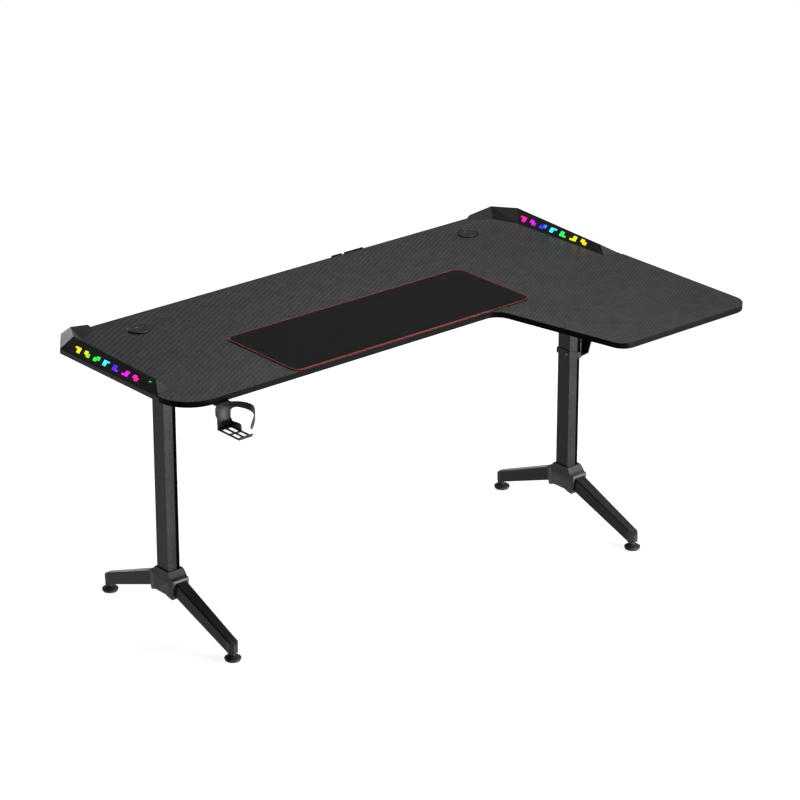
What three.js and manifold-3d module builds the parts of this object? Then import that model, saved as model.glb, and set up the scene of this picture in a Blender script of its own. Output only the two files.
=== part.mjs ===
// Corner gaming desk: an L-shaped top on two T-feet legs, with light modules on the rear corners.
// Millimetres, +Z up, +X to the sitter's right, +Y to the back. Z = 0 is the floor.
// Inside, the pieces are laid out from the rear left corner of the top; the last group
// shifts them so that the origin lies under the middle of the desk.
import * as THREE from "three";
import { mergeVertices } from "three/addons/utils/BufferGeometryUtils.js";
import { ConvexGeometry } from "three/addons/geometries/ConvexGeometry.js";
import Module from "manifold-3d";

const wasm = await Module();
wasm.setup();

// ---- driving dimensions ----
const deskLength = 1600; // along the back edge
const deskDepth = 600; // main run
const wingDepth = 1000; // return on the right
const topHeight = 755; // top face of the board
const boardThick = 16;
const undersideZ = topHeight - boardThick;
const gap = 0.3; // between cut or nested pieces

const wingInner = 1064; // where the inner edge of the wing starts, near the main run
const wingInnerFront = 1128; // the same edge at the front of the wing
const cornerRadius = 95; // front left corner
const wingRadiusLeft = 42;
const wingRadiusRight = 60;
const innerRadius = 46; // the hollow corner by the sitter

const edgeStep = 3; // the light modules wrap the edge of the board, which is set in here
const moduleLength = 500; // along the side
const moduleWing = 135; // along the back
const cornerCut = { x: 53, y: 72 }; // the chamfered rear corners

const legLeftX = 154;
const legLeftY = -310;
const legRightX = 1416;
const legRightY = -487;
const hubBottom = 95;
const hubTop = 168;
const armReach = 262; // to the end cap
const footRadiusAt = 271; // centre of a levelling foot from the column
const columnDepth = 48;

const grommetY = -101;
const grommetLeftX = 231;
const grommetRightX = deskLength - 222;

const matLeft = 362;
const matRight = 1172;
const matFront = -598;
const matBack = -297;
const matThick = 3;

const cupX = 120; // the cup holder hangs in front of the main run, near the left end
const cupY = -657;
const cupRadius = 50;
const cupTop = undersideZ;
const shelfZ = cupTop - 67;

const trayStandsOut = 2.5; // the back plate of the cable tray, behind the board

// ---- solids ----
const v3 = (x, y, z) => new THREE.Vector3(x, y, z);

function solid(geometry) {
  const plain = new THREE.BufferGeometry();
  const source = geometry.index ? geometry.toNonIndexed() : geometry;
  plain.setAttribute("position", source.getAttribute("position"));
  const merged = mergeVertices(plain, 1e-4);
  return new wasm.Manifold(
    new wasm.Mesh({
      numProp: 3,
      vertProperties: merged.attributes.position.array,
      triVerts: new Uint32Array(merged.index.array),
    }),
  );
}

function geometryOf(body) {
  const mesh = body.getMesh();
  const geometry = new THREE.BufferGeometry();
  geometry.setAttribute("position", new THREE.BufferAttribute(mesh.vertProperties, 3));
  geometry.setIndex(new THREE.BufferAttribute(mesh.triVerts, 1));
  return geometry;
}

const join = (...bodies) => bodies.reduce((a, b) => a.add(b));
const cut = (body, ...tools) => tools.reduce((a, b) => a.subtract(b), body);

function box(x0, x1, y0, y1, z0, z1) {
  const g = new THREE.BoxGeometry(x1 - x0, y1 - y0, z1 - z0);
  return solid(g.translate((x0 + x1) / 2, (y0 + y1) / 2, (z0 + z1) / 2));
}

const hull = (points) => solid(new ConvexGeometry(points.map((p) => v3(...p))));

function shapeOf(points) {
  return new THREE.Shape(points.map(([a, b]) => new THREE.Vector2(a, b)));
}

function extrude(shape, depth, segments = 8) {
  return new THREE.ExtrudeGeometry(shape, { depth, bevelEnabled: false, curveSegments: segments });
}

// an outline in X and Y, standing from z0 to z1
function prismZ(shape, z0, z1, segments) {
  return solid(extrude(shape, z1 - z0, segments).translate(0, 0, z0));
}

// an outline in Y and Z, running from x0 to x1
function prismX(points, x0, x1) {
  const turn = new THREE.Matrix4().makeBasis(v3(0, 1, 0), v3(0, 0, 1), v3(1, 0, 0));
  return solid(extrude(shapeOf(points), x1 - x0).applyMatrix4(turn).translate(x0, 0, 0));
}

function turned(profile, x, y, segments = 32) {
  const points = profile.map(([r, z]) => new THREE.Vector2(r, z));
  const g = new THREE.LatheGeometry(points, segments);
  return solid(g.rotateX(Math.PI / 2).translate(x, y, 0));
}

function rod(x, y, z0, z1, radius, segments = 24) {
  return turned([[0, z0], [radius, z0], [radius, z1], [0, z1]], x, y, segments);
}

// a rod from a to b, for screws that don't stand upright
function rodBetween(a, b, radius, segments = 16) {
  const from = v3(...a);
  const along = v3(...b).sub(from);
  const g = new THREE.CylinderGeometry(radius, radius, along.length(), segments);
  g.translate(0, along.length() / 2, 0);
  g.applyQuaternion(new THREE.Quaternion().setFromUnitVectors(v3(0, 1, 0), along.normalize()));
  return solid(g.translate(from.x, from.y, from.z));
}

// ---- materials ----
const finish = (color, roughness, metalness = 0) =>
  new THREE.MeshStandardMaterial({ color, roughness, metalness });
const boardFilm = finish(0x2c2c2e, 0.45);
const matCloth = finish(0x141416, 0.9);
const blackPlastic = finish(0x1a1a1b, 0.5);
const greyPlastic = finish(0x323234, 0.45);
const blackSteel = finish(0x2a2a2c, 0.5, 0.4);
const hubMetal = finish(0x333335, 0.5, 0.4);
const lightStrip = finish(0xdfe8ff, 0.4);
const greenBoard = finish(0x1f5a34, 0.6);
const greenKey = finish(0x35c04a, 0.4);
const zinc = finish(0xb8babd, 0.35, 0.9);
const rubber = finish(0x161616, 0.85);

const desk = new THREE.Group();
desk.position.set(-deskLength / 2, (wingDepth - trayStandsOut) / 2, 0);
const part = new THREE.Group();
part.add(desk);

function place(name, body, material) {
  const mesh = new THREE.Mesh(geometryOf(body), material);
  mesh.name = name;
  desk.add(mesh);
}

// Left and right copies: the modules are laid out in the distance from their own side edge.
const sides = [
  { name: "left", fromEdge: (x) => x },
  { name: "right", fromEdge: (x) => deskLength - x },
];
const mirrored = (side, points) => points.map(([x, y, z]) => [side.fromEdge(x), y, z]);

// ---- desktop board ----
// One turn of the outline: corners are arcs that the path rounds off.
function roundedOutline(corners) {
  const path = new THREE.Shape();
  corners.forEach(([x, y, radius], i) => {
    const here = new THREE.Vector2(x, y);
    const before = new THREE.Vector2(...corners[(i + corners.length - 1) % corners.length]);
    const after = new THREE.Vector2(...corners[(i + 1) % corners.length]);
    const toBefore = before.sub(here).normalize();
    const toAfter = after.sub(here).normalize();
    const half = Math.acos(toBefore.dot(toAfter)) / 2;
    const reach = radius / Math.tan(half);
    const start = here.clone().addScaledVector(toBefore, reach);
    const end = here.clone().addScaledVector(toAfter, reach);
    const middle = toBefore.add(toAfter).normalize();
    const centre = here.clone().addScaledVector(middle, radius / Math.sin(half));
    if (i === 0) path.moveTo(start.x, start.y);
    else path.lineTo(start.x, start.y);
    const clockwise = middle.cross(toAfter) > 0;
    const angle = (p) => Math.atan2(p.y - centre.y, p.x - centre.x);
    if (radius > 0) path.absarc(centre.x, centre.y, radius, angle(start), angle(end), clockwise);
  });
  path.closePath();
  return path;
}

function boardOutline() {
  return roundedOutline([
    [0, -deskDepth, cornerRadius],
    [wingInner - 22, -deskDepth, innerRadius],
    [wingInnerFront, -wingDepth, wingRadiusLeft],
    [deskLength, -wingDepth, wingRadiusRight],
    [deskLength, 0, 0],
    [0, 0, 0],
  ]);
}

function rearCorner(side, inset, z0, z1) {
  const x = side.fromEdge;
  const past = 9; // the cutter starts this far outside the edges
  const shift = cornerCut.x * cornerCut.y + inset * Math.hypot(cornerCut.x, cornerCut.y);
  const alongSide = shift / cornerCut.x + (past * cornerCut.y) / cornerCut.x;
  const alongBack = shift / cornerCut.y + (past * cornerCut.x) / cornerCut.y;
  const points = [[x(-past), past], [x(-past), -alongSide], [x(alongBack), past]];
  return prismZ(shapeOf(side.name === "left" ? points : points.reverse()), z0, z1);
}

function desktop() {
  let board = prismZ(boardOutline(), undersideZ, topHeight, 10);
  for (const side of sides) {
    const x = side.fromEdge;
    const strip = [x(-9), x(edgeStep)].sort((a, b) => a - b);
    const wing = [x(-9), x(moduleWing + 1.5)].sort((a, b) => a - b);
    board = cut(
      board,
      box(...strip, -moduleLength - gap, 9, undersideZ - 9, topHeight + 9),
      box(...wing, -edgeStep, 9, undersideZ - 9, topHeight + 9),
      rearCorner(side, edgeStep, undersideZ - 9, topHeight + 9),
    );
  }
  for (const x of [grommetLeftX, grommetRightX])
    board = cut(board, rod(x, grommetY, undersideZ - 9, topHeight + 9, 29 + gap, 32));
  return board;
}
place("desktop", desktop(), boardFilm);

place(
  "desk_mat",
  prismZ(
    roundedOutline([
      [matLeft, matFront, 26],
      [matRight, matFront, 26],
      [matRight, matBack, 26],
      [matLeft, matBack, 26],
    ]),
    topHeight,
    topHeight + matThick,
    5,
  ),
  matCloth,
);

// ---- cable grommets ----
function grommetRing(x) {
  const profile = [
    [25, undersideZ - 2],
    [29, undersideZ - 2],
    [29, topHeight],
    [31.5, topHeight],
    [31.5, topHeight + 3],
    [30.5, topHeight + 4],
    [27.5, topHeight + 4],
    [27.5, topHeight + 1.5],
    [25, topHeight + 1.5],
    [25, undersideZ - 2],
  ];
  return turned(profile, x, grommetY, 32);
}

function grommetCap(x) {
  const z = topHeight + 1.5;
  const disc = [
    [0, z],
    [23, z],
    [23, z - 9],
    [24.7, z - 9],
    [24.7, z],
    [27.2, z],
    [27.2, z + 1.8],
    [26.4, z + 2.6],
    [0, z + 2.6],
  ];
  const notch = box(x - 9, x + 9, grommetY + 13, grommetY + 40, z - 20, z + 20);
  const corners = join(rod(x, grommetY + 15, z - 20, z + 20, 9, 16), notch);
  return cut(turned(disc, x, grommetY, 32), corners);
}
for (const [name, x] of [["left", grommetLeftX], ["right", grommetRightX]]) {
  place("grommet_ring_" + name, grommetRing(x), greyPlastic);
  place("grommet_cap_" + name, grommetCap(x), greyPlastic);
}

// ---- light modules ----
// The faceted cover in terms of its crest, its skirt and the foot line on the board.
const skirtZ = topHeight - 3;
const crest = {
  wing: [moduleWing - 1, -9, topHeight + 12],
  rear: [67, -25, topHeight + 27.5],
  corner: [28, -95, topHeight + 32],
  front: [34, -444, topHeight + 20],
};
const footLine = {
  wing: [moduleWing + 8, -21],
  inner: [86, -53],
  corner: [57, -128],
  front: [50, -476],
};
const wallIn = 5; // the hollow follows the cover this far inside it

function coverHulls(side, inside) {
  const t = inside ? wallIn : 0;
  const low = inside ? topHeight - 1 : undersideZ;
  const lower = ([x, y, z]) => [x, y, z - t];
  const outline = (x, y) => [[x, y, low], [x, y, inside ? low + 1 : skirtZ]];
  const foot = ([x, y], dx, dy) => [[x + dx, y + dy, low], [x + dx, y + dy, topHeight]];
  const backZ = topHeight + (inside ? 0 : 4); // the cover's height at the rear end of the chamfer
  const sideEnd = -cornerCut.y - (inside ? 4 : 0);
  const backEnd = cornerCut.x + (inside ? 4 : 0);
  const longArm = [
    ...outline(t, sideEnd),
    ...outline(t, -moduleLength + t),
    lower(crest.corner),
    lower([crest.front[0], crest.front[1] + t, crest.front[2]]),
    ...foot(footLine.corner, -t, 0),
    ...foot(footLine.front, -t, t),
  ];
  const cornerBlock = [
    ...outline(t, sideEnd),
    ...outline(backEnd, -t),
    [backEnd, -t, backZ],
    lower(crest.corner),
    lower(crest.rear),
    ...foot(footLine.inner, -t, t),
    ...foot(footLine.corner, -t, 0),
  ];
  const shortArm = [
    ...outline(backEnd, -t),
    ...outline(moduleWing - t, -t),
    [backEnd, -t, backZ],
    [moduleWing - t, -t, inside ? topHeight : topHeight + 3],
    lower(crest.rear),
    lower([crest.wing[0] - t, crest.wing[1], crest.wing[2]]),
    ...foot(footLine.inner, -t, t),
    ...foot(footLine.wing, -t, t),
  ];
  return join(...[longArm, cornerBlock, shortArm].map((p) => hull(mirrored(side, p))));
}

// Stepped block marks let the light out; x is an open cell.
const marks = [
  ["xxxxx", "..xxx", "..xxx"],
  ["xxx..", "xxxxx", "..xxx"],
  ["..xxx", "xxxxx", "xxx.."],
  ["xxxxx", "xxx..", "xxx.."],
  ["xxx..", "xxx..", "xxxxx"],
  ["..xxx", "..xxx", "xxxxx"],
  ["xxx..", "xxxxx", "..xxx"],
];
const cell = 5;
const markPitch = 41.5;
const firstMark = -124;

// Cutters for one face, laid out along it: s runs to the front and t up the slope.
function markCutters(side, low, high, reach) {
  const slope = v3(high[0] - low[0], 0, high[1] - low[1]).normalize();
  const out = v3(-slope.z, 0, slope.x);
  const start = [0.26, 0.26].map((f, i) => low[i] + f * (high[i] - low[i]));
  const corner = (y, t, depth) => {
    const x = start[0] + slope.x * t + out.x * depth;
    return [side.fromEdge(x), y, start[1] + slope.z * t + out.z * depth];
  };
  const cutters = marks.flatMap((rows, m) =>
    rows.flatMap((row, r) =>
      [...row.matchAll(/x+/g)].map((run) => {
        const y0 = firstMark - m * markPitch - run.index * cell;
        const y1 = y0 - run[0].length * cell;
        const top = (rows.length - r) * cell;
        const bottom = top - cell - 0.01; // a hair over the row below, so that they join
        const ring = [y0, y1].flatMap((y) => [[y, bottom], [y, top]]);
        return hull(ring.flatMap(([y, t]) => [corner(y, t, -reach), corner(y, t, reach)]));
      }),
    ),
  );
  return join(...cutters);
}

const outerFace = [[0, skirtZ], [30, topHeight + 27]];
const innerFace = [[53, topHeight], [31, topHeight + 26]];

function lightHousing(side) {
  const x = side.fromEdge;
  const strip = [x(edgeStep - gap), x(300)].sort((a, b) => a - b);
  const under = box(...strip, -moduleLength - 20, -edgeStep + gap, undersideZ - 20, topHeight);
  const outer = coverHulls(side, false);
  const corner = rearCorner(side, edgeStep - gap, undersideZ - 20, topHeight);
  return cut(
    outer,
    cut(under, corner),
    coverHulls(side, true),
    markCutters(side, ...outerFace, 9),
    markCutters(side, ...innerFace, 9),
    keyHole(side),
  );
}

// Round pieces near the front end stand square to their own face.
const partwayDown = (y) => (y - crest.corner[1]) / (crest.front[1] - crest.corner[1]);
const mix = (a, b, f) => a + f * (b - a);
const crestAt = (y) => {
  const f = partwayDown(y);
  return [mix(crest.corner[0], crest.front[0], f), mix(crest.corner[2], crest.front[2], f)];
};
const footAt = (y) => mix(footLine.corner[0], footLine.front[0], partwayDown(y));
const faces = {
  outer: { low: () => [0, skirtZ], hollow: () => [wallIn, topHeight], inward: 1 },
  inner: {
    low: (y) => [footAt(y), topHeight],
    hollow: (y) => [footAt(y) - wallIn, topHeight],
    inward: -1,
  },
};

// a point on a face, f of the way up it and depth under it
function facePoint(face, y, f, depth, from = face.low(y), to = crestAt(y)) {
  const slope = v3(to[0] - from[0], 0, to[1] - from[1]).normalize();
  const x = mix(from[0], to[0], f) + face.inward * slope.z * depth;
  return [x, y, mix(from[1], to[1], f) - face.inward * slope.x * depth];
}

const button = { face: faces.outer, y: -436, f: 0.74, radius: 6 };
const windowAt = { face: faces.inner, y: -424, f: 0.72, radius: 3.5 };

function squareRod(side, at, radius, from, to) {
  const ends = [from, to].map((depth) => facePoint(at.face, at.y, at.f, depth));
  return rodBetween(...mirrored(side, ends), radius, 24);
}

const keyHole = (side) =>
  join(
    squareRod(side, button, button.radius + gap, 8, -8),
    squareRod(side, button, button.radius + 1.6, 9, 3.9),
    squareRod(side, windowAt, windowAt.radius + gap, 6, -8),
  );

const touchButton = (side) =>
  join(
    squareRod(side, button, button.radius, 5, -1),
    squareRod(side, button, button.radius + 1, 5.2, 4.2),
  );

const sensorWindow = (side) => squareRod(side, windowAt, windowAt.radius, 2.6, -0.2);

// A strip behind each lit face, and the board with the lamps between them.
function diffuser(side, face) {
  const ends = [-118, -409].flatMap((y) => {
    const [x, z] = crestAt(y);
    const hollow = (f, depth) => facePoint(face, y, f, depth, face.hollow(y), [x, z - wallIn]);
    return [hollow(0.16, 0.5), hollow(0.82, 0.5), hollow(0.16, 2.5), hollow(0.82, 2.5)];
  });
  return hull(mirrored(side, ends));
}

function ledBoard(side) {
  const ends = [side.fromEdge(28.2), side.fromEdge(29.8)].sort((a, b) => a - b);
  return box(...ends, -400, -122, topHeight, topHeight + 8);
}

for (const side of sides) {
  place("light_housing_" + side.name, lightHousing(side), blackPlastic);
  place("light_diffuser_outer_" + side.name, diffuser(side, faces.outer), lightStrip);
  place("light_diffuser_inner_" + side.name, diffuser(side, faces.inner), lightStrip);
  place("led_board_" + side.name, ledBoard(side), greenBoard);
  place("touch_button_" + side.name, touchButton(side), greenKey);
  place("sensor_window_" + side.name, sensorWindow(side), blackPlastic);
}

// ---- legs ----
const legs = [
  { name: "left", x: legLeftX, y: legLeftY, frontTop: 190, rearTop: 220 },
  { name: "right", x: legRightX, y: legRightY, frontTop: 330, rearTop: 330 },
];
const columnBottom = 145;
const bracketZ = undersideZ - 3; // underside of the plate of a top bracket
const boltRadius = 4;
const armBoltAt = 38;
const armBoltSeat = 102;
const columnBoltAt = [-12, 12];
const columnBoltSeat = 104;

function columnSection(grow = 0) {
  const a = 20 + grow;
  const b = columnDepth / 2 + grow;
  return [[-a, -b], [8, -b], [a + 3, -b + 6], [a + 3, b - 6], [8, b], [-a, b]];
}

function columnAt(leg, grow, z0, z1) {
  const points = columnSection(grow).map(([x, y]) => [leg.x + x, leg.y + y]);
  return prismZ(shapeOf(points), z0, z1);
}

function column(leg) {
  const z = columnBottom;
  const holes = columnBoltAt.map((y) => rod(leg.x, leg.y + y, z - 9, z + 24, boltRadius + gap, 16));
  return cut(columnAt(leg, 0, z, bracketZ), ...holes);
}

// Arms: a box that gets narrower and lower to its end, in a socket of the hub.
const armAt = {
  root: { y: 26, top: 155, bottom: 113, half: 18.5 },
  end: { y: armReach, top: 60, bottom: 25, half: 14.5 },
};
const armSlope = (along) => {
  const { root, end } = armAt;
  const f = (along - root.y) / (end.y - root.y);
  return {
    top: mix(root.top, end.top, f),
    bottom: mix(root.bottom, end.bottom, f),
    half: mix(root.half, end.half, f),
  };
};

function armSectionPoints(along, grow) {
  const { top, bottom, half } = armSlope(along);
  const edge = 3; // the long top edges are chamfered
  const w = half + grow;
  return [
    [-w, bottom - grow],
    [w, bottom - grow],
    [w, top + grow - edge],
    [w - edge, top + grow],
    [edge - w, top + grow],
    [-w, top + grow - edge],
  ].map(([x, z]) => [x, along, z]);
}

const armHull = (leg, dir, from, to, grow) =>
  hull(
    [...armSectionPoints(from, grow), ...armSectionPoints(to, grow)].map(([x, y, z]) => [
      leg.x + x,
      leg.y + dir * y,
      z,
    ]),
  );

function armEndBlock(leg, dir, grow) {
  // the blunt nose: the plan corners and the lower edge are cut away
  const { top, bottom, half } = armSlope(armReach);
  const tip = armReach + 23;
  const points = [
    ...armSectionPoints(armReach + gap, grow),
    [-half, tip - 12, bottom - 5],
    [half, tip - 12, bottom - 5],
    [-half, tip - 10, top - 8],
    [half, tip - 10, top - 8],
    [-half + 8, tip, bottom - 1],
    [half - 8, tip, bottom - 1],
    [-half + 8, tip, top - 14],
    [half - 8, tip, top - 14],
    [-half + 6, tip - 8, top - 6],
    [half - 6, tip - 8, top - 6],
  ];
  return hull(points.map(([x, y, z]) => [leg.x + x, leg.y + dir * y, z]));
}

const footHole = (leg, dir) => rod(leg.x, leg.y + dir * footRadiusAt, 0, 43, boltRadius + gap, 16);
const boltShaft = (leg, dir) =>
  rod(leg.x, leg.y + dir * armBoltAt, armBoltSeat - 17, armBoltSeat + 27, boltRadius + gap, 16);

function footArm(leg, dir) {
  const arm = armHull(leg, dir, armAt.root.y + gap, armReach, 0);
  return cut(arm, boltShaft(leg, dir));
}

function hub(leg) {
  const half = 28;
  const side = [
    [-46, hubBottom],
    [-22, columnBoltSeat],
    [22, columnBoltSeat],
    [46, hubBottom],
    [49, 107],
    [55, 145],
    [53, 150],
    [41, 153],
    [29, hubTop],
    [-29, hubTop],
    [-41, 153],
    [-53, 150],
    [-55, 145],
    [-49, 107],
  ].map(([y, z]) => [leg.y + y, z]);
  const plan = [
    [-25, -62],
    [25, -62],
    [25, -46],
    [half + 2, -32],
    [half + 2, 32],
    [25, 46],
    [25, 62],
    [-25, 62],
    [-25, 46],
    [-half, 32],
    [-half, -32],
    [-25, -46],
  ].map(([x, y]) => [leg.x + x, leg.y + y]);
  const shoulders = hull(
    [
      [-half, 60, 85], [half + 2, 60, 85], [-half, -60, 85], [half + 2, -60, 85],
      [-half, 60, 142], [half + 2, 60, 142], [-half, -60, 142], [half + 2, -60, 142],
      [-24, 44, hubTop], [26.5, 44, hubTop], [-24, -44, hubTop], [26.5, -44, hubTop],
    ].map(([x, y, z]) => [leg.x + x, leg.y + y, z]),
  );
  const block = prismX(side, leg.x - 40, leg.x + 40)
    .intersect(prismZ(shapeOf(plan), hubBottom - 9, hubTop + 9))
    .intersect(shoulders);
  const boltHoles = columnBoltAt.map((y) =>
    rod(leg.x, leg.y + y, hubBottom - 9, columnBottom + 9, boltRadius + gap, 16),
  );
  const headRoom = [1, -1].map((dir) =>
    rod(leg.x, leg.y + dir * armBoltAt, hubBottom - 9, armBoltSeat, 8, 16),
  );
  return cut(
    block,
    columnAt(leg, gap, columnBottom, hubTop + 9),
    ...[1, -1].map((dir) => armHull(leg, dir, armAt.root.y, armAt.root.y + 60, gap)),
    ...[1, -1].map((dir) => boltShaft(leg, dir)),
    ...headRoom,
    ...boltHoles,
  );
}

function hexBolt(x, y, seat, length) {
  const headRadius = 6.5;
  const head = rod(x, y, seat - 5, seat, headRadius, 6);
  return join(head, rod(x, y, seat, seat + length, boltRadius, 12));
}

function levellingFoot(leg, dir) {
  const profile = [
    [0, 0],
    [21, 0],
    [22.5, 1.5],
    [22.5, 4],
    [17, 9],
    [8, 11],
    [8, 18],
    [boltRadius, 18],
    [boltRadius, 41],
    [0, 41],
  ];
  return turned(profile, leg.x, leg.y + dir * footRadiusAt, 28);
}

// Under the board: a bracket along each leg's arm direction, with two beams between the legs.
const beamY = [-215, -405];

function topBracket(leg) {
  const y0 = leg.y - leg.frontTop;
  const y1 = leg.y + leg.rearTop;
  const plate = box(leg.x - 34, leg.x + 34, y0, y1, bracketZ, undersideZ);
  const ribs = [-34, 31].map((x) => box(leg.x + x, leg.x + x + 3, y0, y1, bracketZ - 15, bracketZ));
  const low = bracketZ - 40;
  const saddles = beamY.map((y) => box(leg.x - 40, leg.x + 40, y - 21, y + 21, low, bracketZ));
  const collar = cut(columnAt(leg, 3, low, bracketZ), columnAt(leg, gap, low - 20, bracketZ));
  return cut(join(plate, ...ribs, collar), ...saddles);
}

function crossBeam(y) {
  const x0 = legLeftX + 38;
  const x1 = legRightX - 38;
  const outer = box(x0, x1, y - 20, y + 20, bracketZ - 29, bracketZ - 4);
  const bore = box(x0 - 9, x1 + 9, y - 18, y + 18, bracketZ - 27, bracketZ - 6);
  const tongues = join(
    box(legLeftX - 30, x0 + 12, y - 19.7, y + 19.7, bracketZ - 4, bracketZ),
    box(x1 - 12, legRightX + 30, y - 19.7, y + 19.7, bracketZ - 4, bracketZ),
  );
  return join(cut(outer, bore), tongues);
}

for (const leg of legs) {
  place("leg_column_" + leg.name, column(leg), blackSteel);
  place("leg_hub_" + leg.name, hub(leg), hubMetal);
  place("top_bracket_" + leg.name, topBracket(leg), blackSteel);
  for (const [end, dir] of [["front", -1], ["rear", 1]]) {
    const tag = end + "_" + leg.name;
    place("foot_arm_" + tag, footArm(leg, dir), blackSteel);
    place("foot_cap_" + tag, cut(armEndBlock(leg, dir, 0), footHole(leg, dir)), blackPlastic);
    place("levelling_foot_" + tag, levellingFoot(leg, dir), rubber);
    place("arm_bolt_" + tag, hexBolt(leg.x, leg.y + dir * armBoltAt, armBoltSeat, 25), zinc);
  }
  ["front", "rear"].forEach((end, i) => {
    const bolt = hexBolt(leg.x, leg.y + columnBoltAt[i], columnBoltSeat, 59);
    place(`column_bolt_${end}_${leg.name}`, bolt, zinc);
  });
}
place("cross_beam_front", crossBeam(beamY[1]), blackSteel);
place("cross_beam_rear", crossBeam(beamY[0]), blackSteel);

// ---- cup holder ----
// An open ring: a band at the back that falls to a finger at the front right, and a full wall
// at the back left with a cheek running forward over the shelf.
// Each stop is the angle round the ring in degrees, and how far the lower and upper edges lie below the top.
const ringStops = [
  [-76, 44, 35],
  [-69, 43.5, 26],
  [-60, 39, 19],
  [-40, 27, 6],
  [-15, 20, 0],
  [50, 15, 0],
  [60, 17, 0],
  [66, 22, 0],
  [68, 67, 0],
  [118, 67, 0],
  [120, 34, 0],
  [131, 24, 0],
  [142, 13, 0],
  [150, 9, 2],
];

function ringWall(stops, radius, thick, stepDegrees) {
  const rows = [];
  stops.slice(1).forEach((stop, i) => {
    const before = stops[i];
    const steps = Math.max(1, Math.round((stop[0] - before[0]) / stepDegrees));
    const first = i === 0 ? 0 : 1;
    for (let k = first; k <= steps; k++) rows.push(stop.map((v, j) => mix(before[j], v, k / steps)));
  });
  const positions = rows.flatMap(([degrees, low, high]) => {
    const a = THREE.MathUtils.degToRad(degrees);
    const inner = radius - thick;
    return [[radius, low], [radius, high], [inner, high], [inner, low]].flatMap(([r, z]) => [
      cupX + r * Math.cos(a),
      cupY + r * Math.sin(a),
      cupTop - z,
    ]);
  });
  const quads = [];
  rows.slice(1).forEach((_, i) => {
    for (let k = 0; k < 4; k++) {
      const here = 4 * i + k;
      const next = 4 * i + ((k + 1) % 4);
      quads.push([here, here + 4, next + 4, next]);
    }
  });
  const last = 4 * (rows.length - 1);
  quads.push([0, 1, 2, 3], [last + 3, last + 2, last + 1, last]);
  const triangles = quads.flatMap(([a, b, c, d]) => [a, b, c, a, c, d]);
  return new wasm.Manifold(
    new wasm.Mesh({
      numProp: 3,
      vertProperties: new Float32Array(positions),
      triVerts: new Uint32Array(triangles),
    }),
  );
}

const shelf = { x0: cupX - 22, x1: cupX + 20, y0: cupY - 42, y1: cupY + 49 };
const cupScrewX = [cupX - 12, cupX + 12];
const cupScrewY = -576;
const flangeThick = 4;

function cupHolder() {
  const { x0, x1, y0, y1 } = shelf;
  const bar = 5.5;
  const thick = 2.5;
  const wide = (x1 - x0 - 3 * bar) / 2;
  const deep = (cupY + 42 - y0 - 3 * bar) / 2;
  const windows = [0, 1].flatMap((i) =>
    [0, 1].map((j) => {
      const x = x0 + bar + i * (wide + bar);
      const y = y0 + bar + j * (deep + bar);
      return box(x, x + wide, y, y + deep, shelfZ - 9, shelfZ + 9);
    }),
  );
  const inRing = rod(cupX, cupY, shelfZ - 9, cupTop + 9, cupRadius - 1, 48);
  const tray = cut(box(x0, x1, y0, y1, shelfZ, shelfZ + 3), ...windows).intersect(inRing);
  const lipSide = [[0, 0], [3, 0], [-1, 9], [-4, 9]].map(([y, z]) => [y0 + y, shelfZ + z]);
  const lip = prismX(lipSide, x0, x1);
  const cheekSide = [[4, 0], [-2, 7], [0, 15], [4, 19], [11, 20], [36, 17], [41, 21], [49, 30], [49, 0]];
  const cheek = prismX(
    cheekSide.map(([y, z]) => [cupY + y, shelfZ + z]).reverse(),
    x1 - thick,
    x1,
  );
  const flangeZ = cupTop - flangeThick;
  const flange = box(cupX - 22, cupX + 22, cupY + cupRadius - 6, -558, flangeZ, cupTop);
  const holes = cupScrewX.map((x) => rod(x, cupScrewY, flangeZ - 9, cupTop + 9, 2.5 + gap, 16));
  const opening = rod(cupX, cupY, flangeZ - 9, cupTop + 9, cupRadius - thick, 48);
  const wall = ringWall(ringStops, cupRadius, thick, 9);
  return join(wall, cut(flange, opening, ...holes), tray, lip, cheek.intersect(inRing));
}
place("cup_holder", cupHolder(), blackPlastic);

function screw(x, y, seat, top) {
  const profile = [
    [0, seat - 2.6],
    [3, seat - 2.6],
    [4.6, seat - 1],
    [4.6, seat],
    [2.5, seat],
    [2.5, top],
    [0, top],
  ];
  return turned(profile, x, y, 14);
}
cupScrewX.forEach((x, i) => {
  place("cup_screw_" + "ab"[i], screw(x, cupScrewY, cupTop - flangeThick, undersideZ), zinc);
});

// ---- headphone hook, clamped round the right column ----
// The band sits lower on the side of the hook.
const rightLeg = legs[1];
const bandFar = [502, 518];
const bandNear = [487, 506];
const hookY = [rightLeg.y - 17, rightLeg.y + 17];
const hookX = rightLeg.x + 26 + gap;
const clampScrewAt = { y: rightLeg.y - 15, z: 509 };

function clampBand() {
  const side = [
    [-30, bandFar[0]],
    [-20, bandFar[0]],
    [20, bandNear[0]],
    [30, bandNear[0]],
    [30, bandNear[1]],
    [20, bandNear[1]],
    [-20, bandFar[1]],
    [-30, bandFar[1]],
  ].map(([x, z]) => [rightLeg.x + x, z]);
  const slab = extrude(shapeOf(side), 99).rotateX(Math.PI / 2).translate(0, rightLeg.y + 49, 0);
  const { y, z } = clampScrewAt;
  const band = columnAt(rightLeg, 3, 450, 550).intersect(solid(slab));
  const hole = rodBetween([rightLeg.x - 40, y, z], [rightLeg.x, y, z], 2.5 + gap);
  return cut(band, columnAt(rightLeg, gap, 440, 560), hole);
}

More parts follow.
